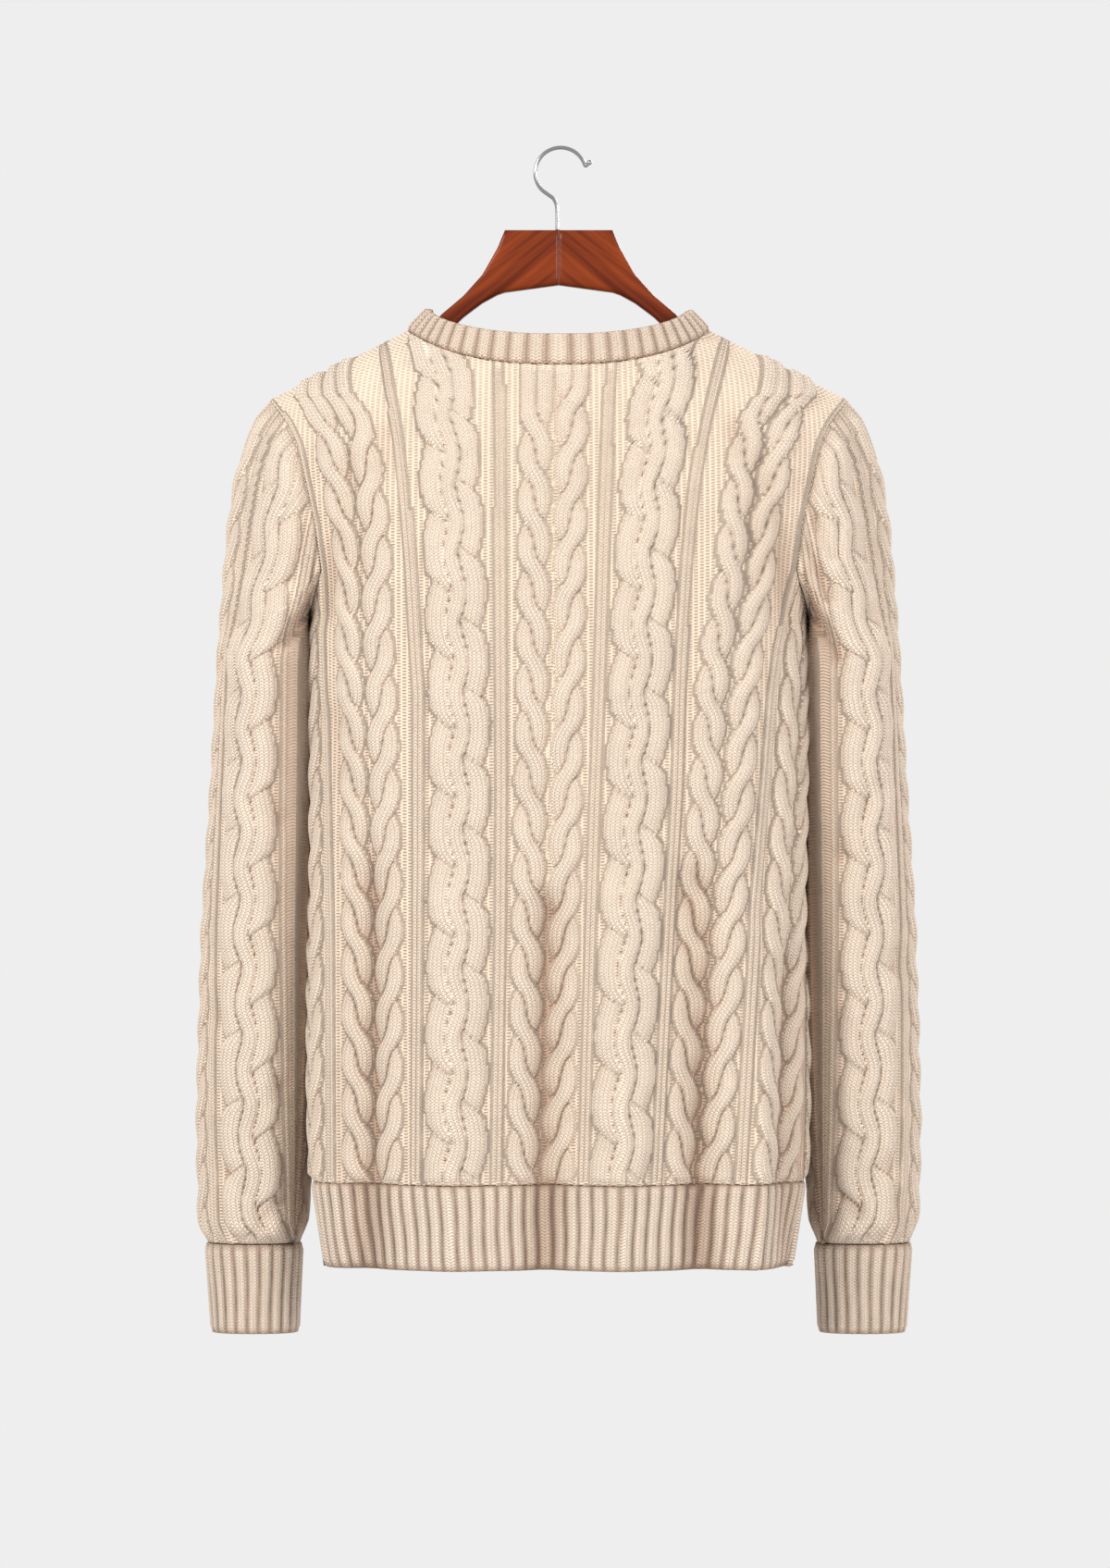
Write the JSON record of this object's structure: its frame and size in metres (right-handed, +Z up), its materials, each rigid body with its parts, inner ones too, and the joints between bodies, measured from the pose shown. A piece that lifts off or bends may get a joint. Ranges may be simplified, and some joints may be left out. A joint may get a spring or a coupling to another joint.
{
  "type": "cable knit sweater on a wooden hanger",
  "caption": "Long-sleeved crew-neck cable knit sweater, filled out and hollow, hanging on a flat wooden hanger with a steel hook.",
  "frame": {"origin": "inner top of the hook's arc, where a rail or peg carries the hanger", "axes": "+Z up; the back of the sweater faces -Y and its front +Y; +X is the right side when the back is looked at"},
  "size_m": [0.5374, 0.2118, 0.8745],
  "materials": {
    "knit": "soft, slightly fuzzy cable knit",
    "varnished_wood": "satin red-brown varnish",
    "steel": "bright plated wire"
  },
  "bodies": {
    "root": {"back_panel": "knit", "front_panel": "knit", "sleeve_left_upper": "knit", "sleeve_left_lower": "knit", "sleeve_right_upper": "knit", "sleeve_right_lower": "knit", "neck_band": "knit", "hem_rib_back": "knit", "hem_rib_front": "knit", "cuff_left": "knit", "cuff_right": "knit", "hanger_wood_left": "varnished_wood", "hanger_wood_right": "varnished_wood", "hanger_hook": "steel"}
  },
  "joints": []
}
